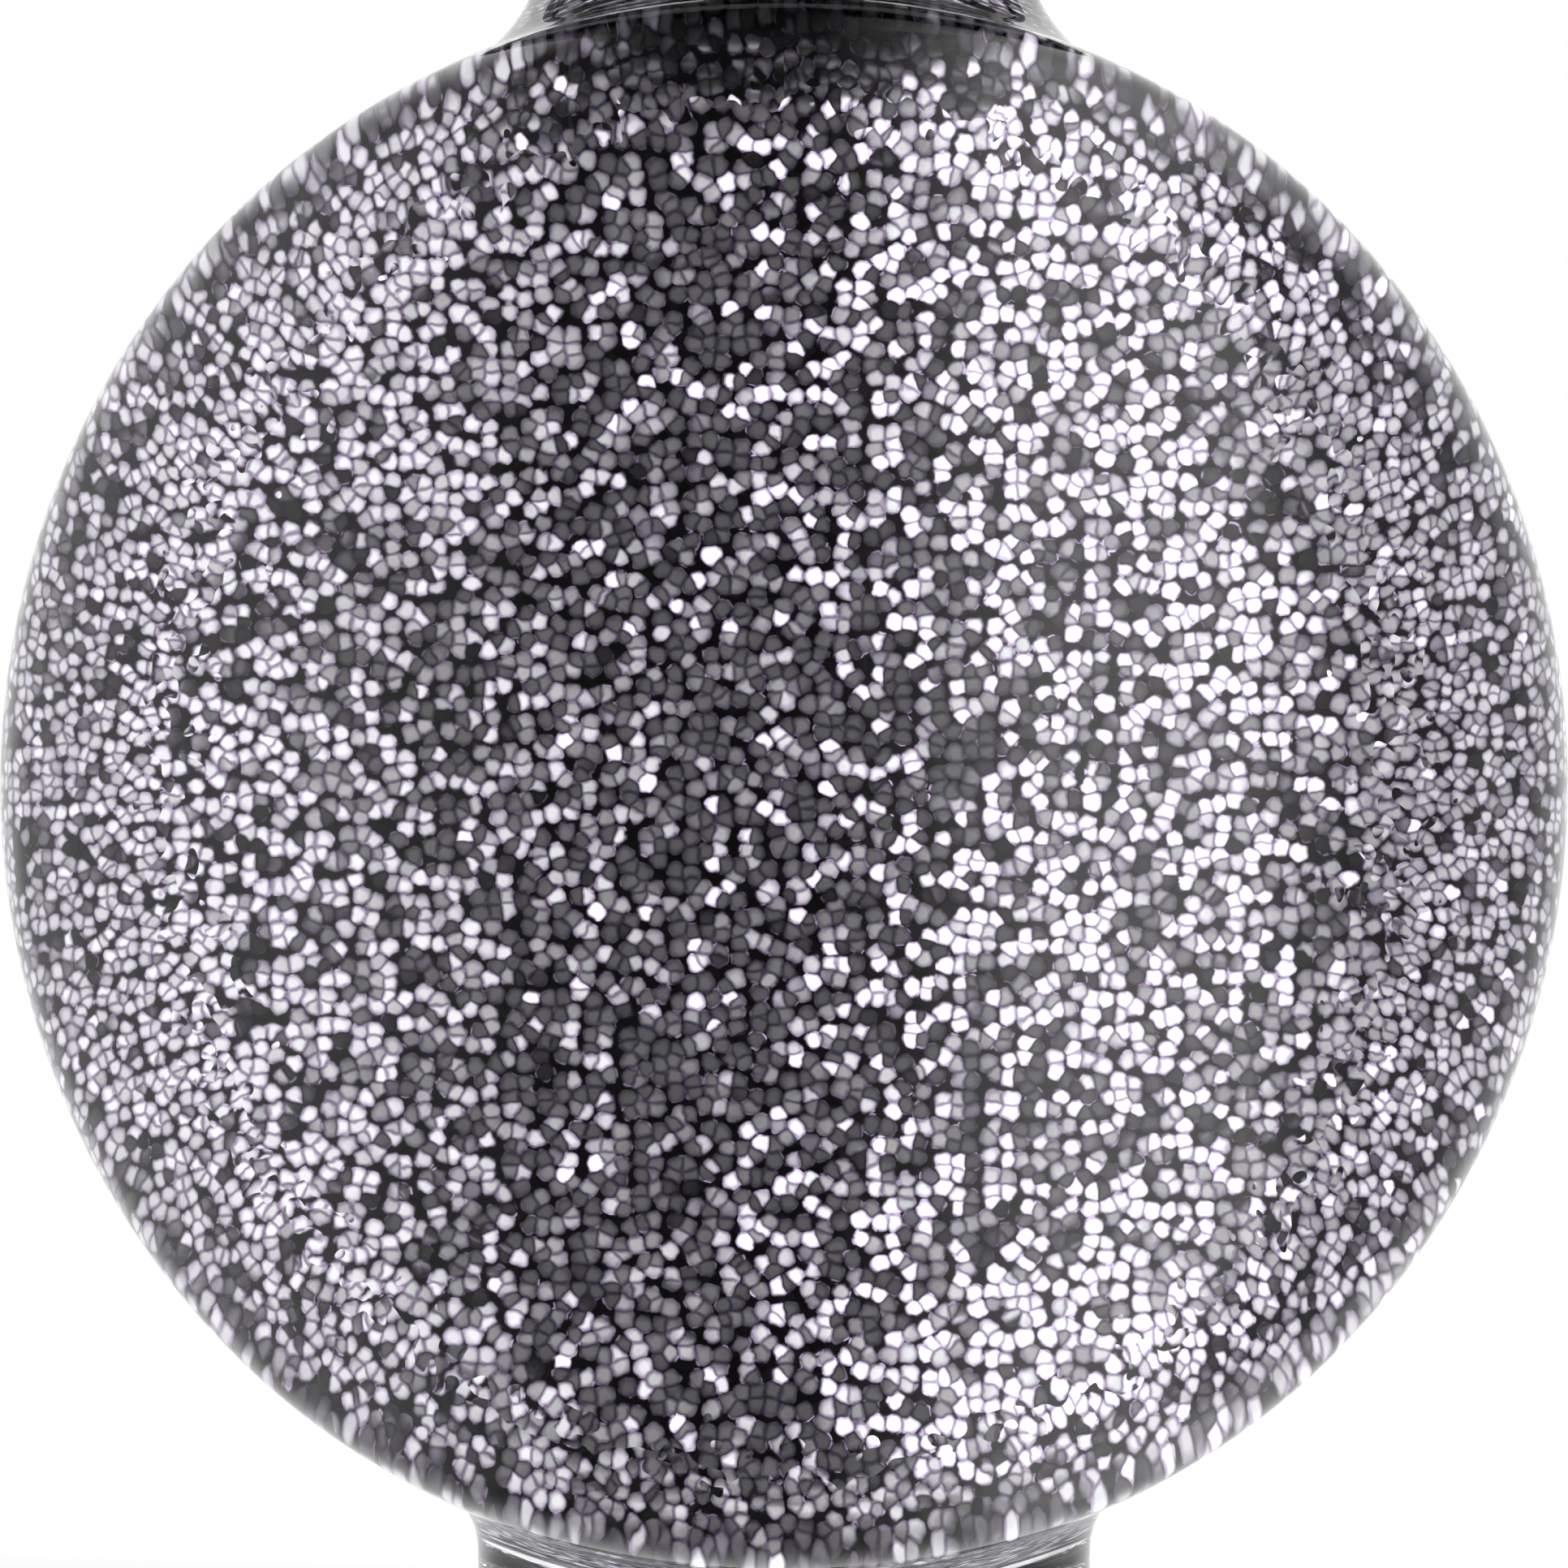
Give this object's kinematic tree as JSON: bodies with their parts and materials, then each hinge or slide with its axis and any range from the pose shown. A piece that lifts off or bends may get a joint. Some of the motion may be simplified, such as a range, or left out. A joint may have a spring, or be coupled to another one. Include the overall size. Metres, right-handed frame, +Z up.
{
  "type": "nail polish bottle",
  "caption": "Round clear-glass nail polish bottle with bowed faces, full of silver glitter polish, with a gloss black screw cap that carries the brush.",
  "frame": {"origin": "centre of the underside of the foot, on the surface that the bottle stands on", "axes": "+Z up along the axis of neck and cap, the front bowed face looks along -Y, +X to the right seen from the front"},
  "size_m": [0.037, 0.0244, 0.0736],
  "materials": {
    "clear_glass": "polished",
    "glitter_polish": "gloss",
    "ball_steel": "polished",
    "label_paper": "matte",
    "seal_foam": "matte",
    "inner_plastic": "satin",
    "cap_black": "gloss",
    "stem_plastic": "satin",
    "nylon": "satin",
    "anchor_brass": "satin"
  },
  "bodies": {
    "bottle": {"glass_bottle": "clear_glass", "polish": "glitter_polish", "base_label": "label_paper"},
    "mixing_ball_1": {"mixing_ball_1": "ball_steel"},
    "mixing_ball_2": {"mixing_ball_2": "ball_steel"},
    "washer": {"sealing_washer": "seal_foam"},
    "cap_and_brush": {"inner_cap": "inner_plastic", "outer_cap": "cap_black", "brush_stem": "stem_plastic", "bristles": "nylon", "bristle_anchor": "anchor_brass"}
  },
  "joints": [
    {"name": "cap_lift", "type": "slide", "parent": "bottle", "child": "washer", "axis": [0, 0, 1], "range_m": [0, 0.00316]},
    {"name": "cap_turn", "type": "hinge", "parent": "washer", "child": "cap_and_brush", "pos_m": [0, 0, 0.05], "axis": [0, 0, 1], "range_deg": [0, 540]},
    {"name": "ball_1_roll", "type": "slide", "parent": "bottle", "child": "mixing_ball_1", "axis": [0, -1, 0], "range_m": [0, 0.0034]},
    {"name": "ball_2_roll", "type": "slide", "parent": "bottle", "child": "mixing_ball_2", "axis": [0, 1, 0], "range_m": [0, 0.0034]}
  ],
  "couplings": [
    {"joint": "cap_lift", "follows": "cap_turn", "m_per_rad": 0.00033423}
  ]
}
